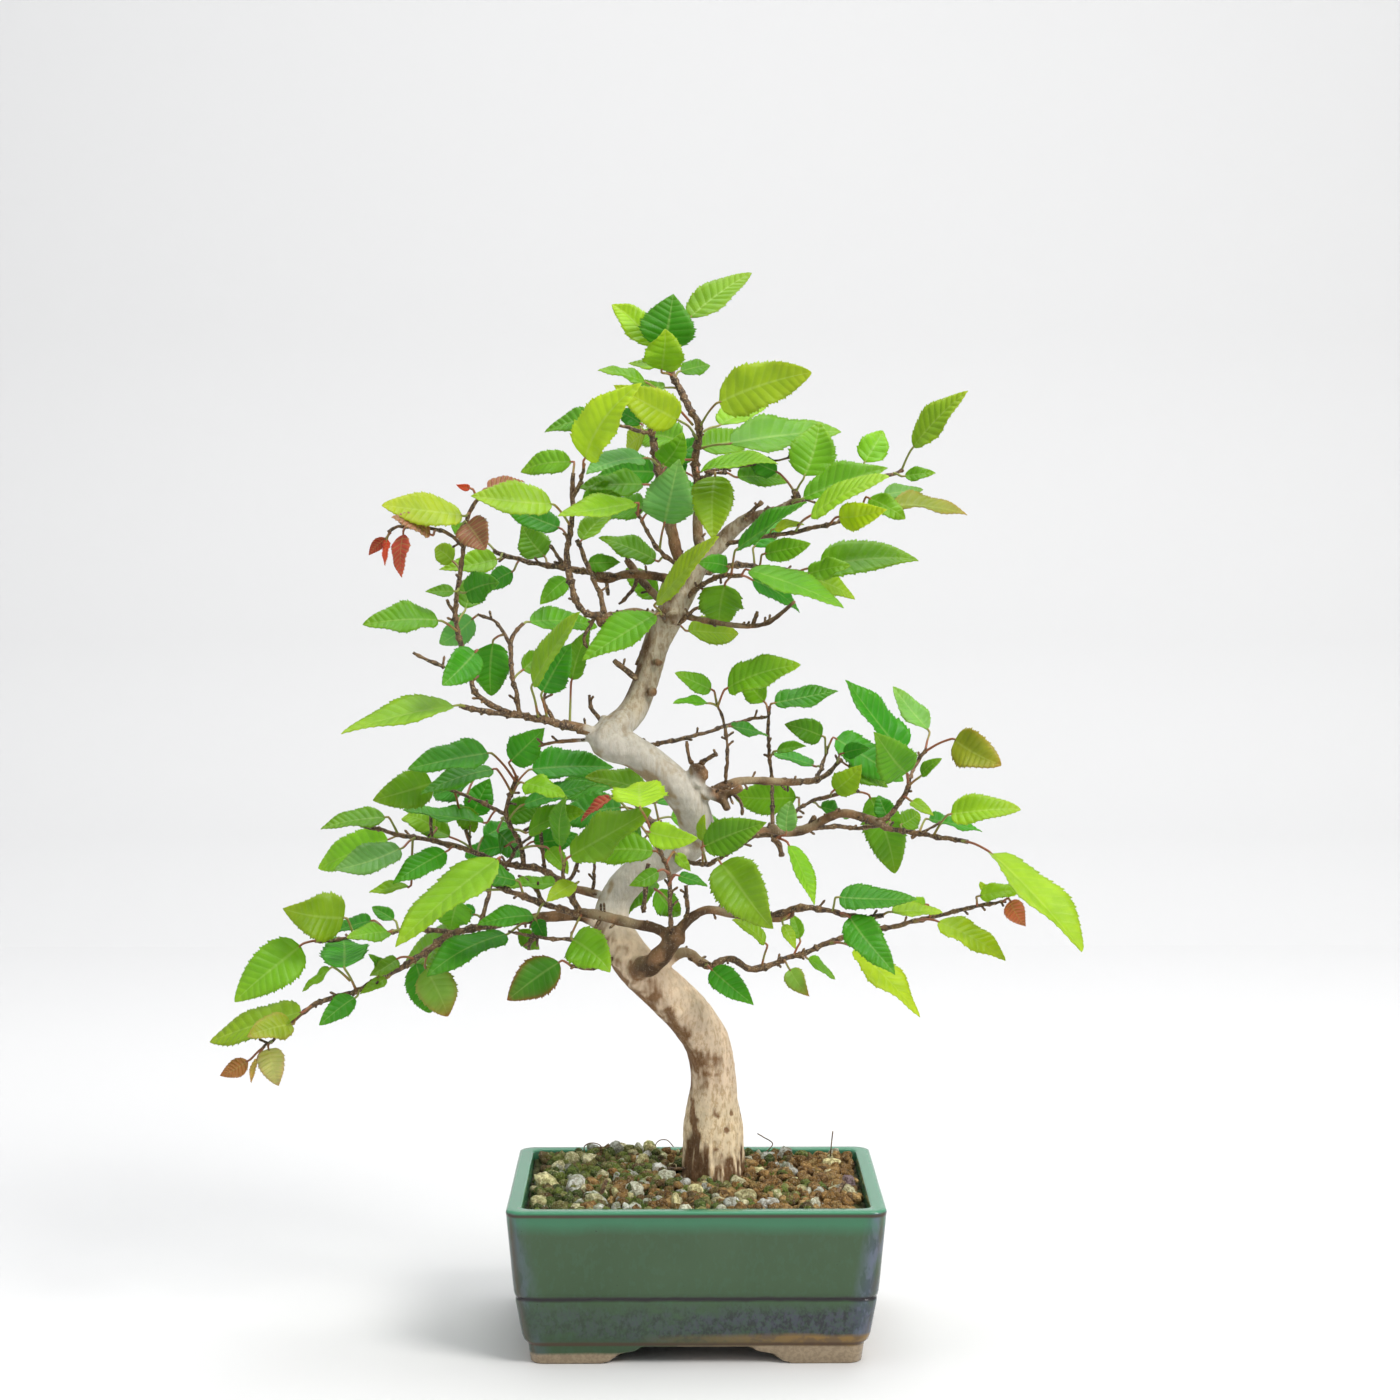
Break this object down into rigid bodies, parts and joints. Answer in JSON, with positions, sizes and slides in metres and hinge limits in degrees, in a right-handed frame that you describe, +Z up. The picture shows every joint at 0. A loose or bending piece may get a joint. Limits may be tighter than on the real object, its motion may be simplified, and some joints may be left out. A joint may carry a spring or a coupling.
{
  "type": "korean hornbeam bonsai",
  "caption": "Korean hornbeam bonsai with a curved trunk and toothed leaves on thin branches, standing in soil in a rectangular green-glazed pot with bracket feet.",
  "frame": {"origin": "middle of the underside of the whole, tree and pot together, on the surface that the pot stands on", "axes": "+Z up, +X towards the right of the front view, +Y away from the front"},
  "size_m": [0.3504, 0.1768, 0.4357],
  "materials": {
    "glaze": "gloss",
    "screen": "matte",
    "soil": "matte",
    "bark": "matte",
    "leaf_green": "satin",
    "leaf_bright": "satin",
    "leaf_young": "satin"
  },
  "bodies": {
    "root": {"pot": "glaze", "drain_screen_left": "screen", "drain_screen_right": "screen", "soil": "soil", "trunk": "bark", "spray_low_left": "leaf_green", "spray_low_left_young": "leaf_young", "spray_low_left_inner": "leaf_green", "spray_low_left_front": "leaf_bright", "spray_front_shoot": "leaf_bright", "spray_left_middle": "leaf_green", "spray_front_right": "leaf_bright", "spray_right_low": "leaf_green", "spray_right_lowest": "leaf_bright", "spray_right_lowest_young": "leaf_young", "spray_right_middle": "leaf_green", "spray_right_middle_upper": "leaf_green", "spray_right_upper": "leaf_green", "spray_right_twig_behind": "leaf_green", "spray_right_twig_front": "leaf_green", "spray_apex_low_right": "leaf_green", "spray_apex_low_behind": "leaf_green", "spray_left_high": "leaf_green", "spray_left_high_young": "leaf_young", "spray_upper_left": "leaf_bright", "spray_upper_left_far": "leaf_green", "spray_trunk_front": "leaf_bright", "spray_leader_stem": "leaf_bright", "spray_leader_behind": "leaf_green", "spray_leader_top": "leaf_green", "spray_second_leader": "leaf_green", "spray_right_end": "leaf_green", "spray_right_lower_twig": "leaf_bright", "spray_right_behind": "leaf_green", "spray_back_low": "leaf_green", "spray_back_high": "leaf_green"}
  },
  "joints": []
}
